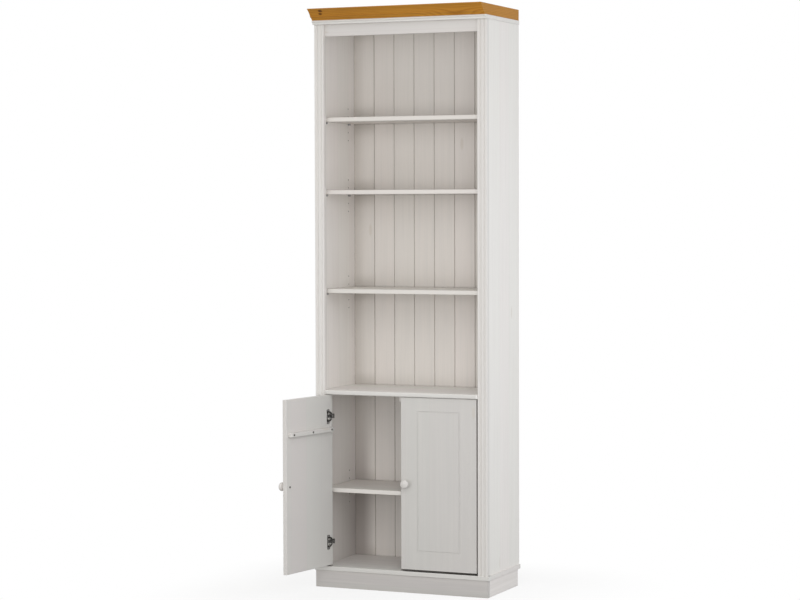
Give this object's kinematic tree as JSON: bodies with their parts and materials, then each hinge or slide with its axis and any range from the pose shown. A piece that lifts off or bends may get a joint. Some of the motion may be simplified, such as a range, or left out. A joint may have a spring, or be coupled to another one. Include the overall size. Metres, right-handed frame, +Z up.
{
  "type": "bookcase",
  "caption": "Tall narrow pine bookcase with open shelves over a cupboard with inset doors, fluted stiles, boarded back and forward-flaring crown.",
  "frame": {"origin": "on the floor under the plinth front board: mid-width and mid-thickness of its underside", "axes": "+X to the right seen from the front, +Y from the front to the back, +Z up"},
  "size_m": [0.7184, 0.6027, 2.15],
  "materials": {
    "white_glaze": "white glaze over pine, satin, with faint grain",
    "white_shelf": "white glaze over pine, satin, a little warmer",
    "white_knob": "turned wood, white satin paint",
    "honey_pine": "honey stained and waxed pine",
    "raw_wood": "untreated wood",
    "dark_steel": "browned steel",
    "bright_steel": "zinc plated steel"
  },
  "bodies": {
    "cabinet": {"plinth_front": "white_glaze", "plinth_left": "white_glaze", "plinth_right": "white_glaze", "plinth_back": "white_glaze", "plinth_blocks": "raw_wood", "base_board": "white_glaze", "side_left": "white_glaze", "side_right": "white_glaze", "stile_left": "white_glaze", "stile_right": "white_glaze", "top_board": "white_glaze", "top_rail": "white_glaze", "crown_moulding": "honey_pine", "crown_front": "honey_pine", "crown_left": "honey_pine", "crown_right": "honey_pine", "crown_back": "honey_pine", "fixed_shelf": "white_glaze", "upper_shelf": "white_shelf", "middle_shelf": "white_shelf", "lower_shelf": "white_shelf", "cupboard_shelf": "white_shelf", "upper_shelf_pins": "bright_steel", "middle_shelf_pins": "bright_steel", "lower_shelf_pins": "bright_steel", "cupboard_shelf_pins": "bright_steel", "back_board_1": "white_shelf", "back_board_2": "white_shelf", "back_board_3": "white_shelf", "back_board_4": "white_shelf", "back_board_5": "white_shelf", "back_board_6": "white_shelf", "back_board_7": "white_shelf", "back_board_8": "white_shelf", "back_nails": "bright_steel", "carcass_dowels": "raw_wood", "door_stop": "white_glaze", "left_hinge_plates": "dark_steel", "left_hinge_arms": "dark_steel", "right_hinge_plates": "dark_steel", "right_hinge_arms": "dark_steel", "hinge_plate_screws": "bright_steel"},
    "left_door": {"left_door_panel": "white_glaze", "left_door_batten": "white_glaze", "left_batten_screws": "bright_steel", "left_door_knob": "white_knob", "left_knob_screw": "bright_steel", "left_hinge_cups": "dark_steel", "left_hinge_pins": "bright_steel", "left_cup_screws": "bright_steel"},
    "right_door": {"right_door_panel": "white_glaze", "right_door_batten": "white_glaze", "right_batten_screws": "bright_steel", "right_door_knob": "white_knob", "right_knob_screw": "bright_steel", "right_hinge_cups": "dark_steel", "right_hinge_pins": "bright_steel", "right_cup_screws": "bright_steel"}
  },
  "joints": [
    {"name": "left_door_hinge", "type": "hinge", "parent": "cabinet", "child": "left_door", "pos_m": [-0.2925, 0.001, 0.395], "axis": [0, 0, 1], "range_deg": [-1.3, 98.7]},
    {"name": "right_door_hinge", "type": "hinge", "parent": "cabinet", "child": "right_door", "pos_m": [0.2925, 0.001, 0.395], "axis": [0, 0, 1], "range_deg": [0, 100]}
  ]
}
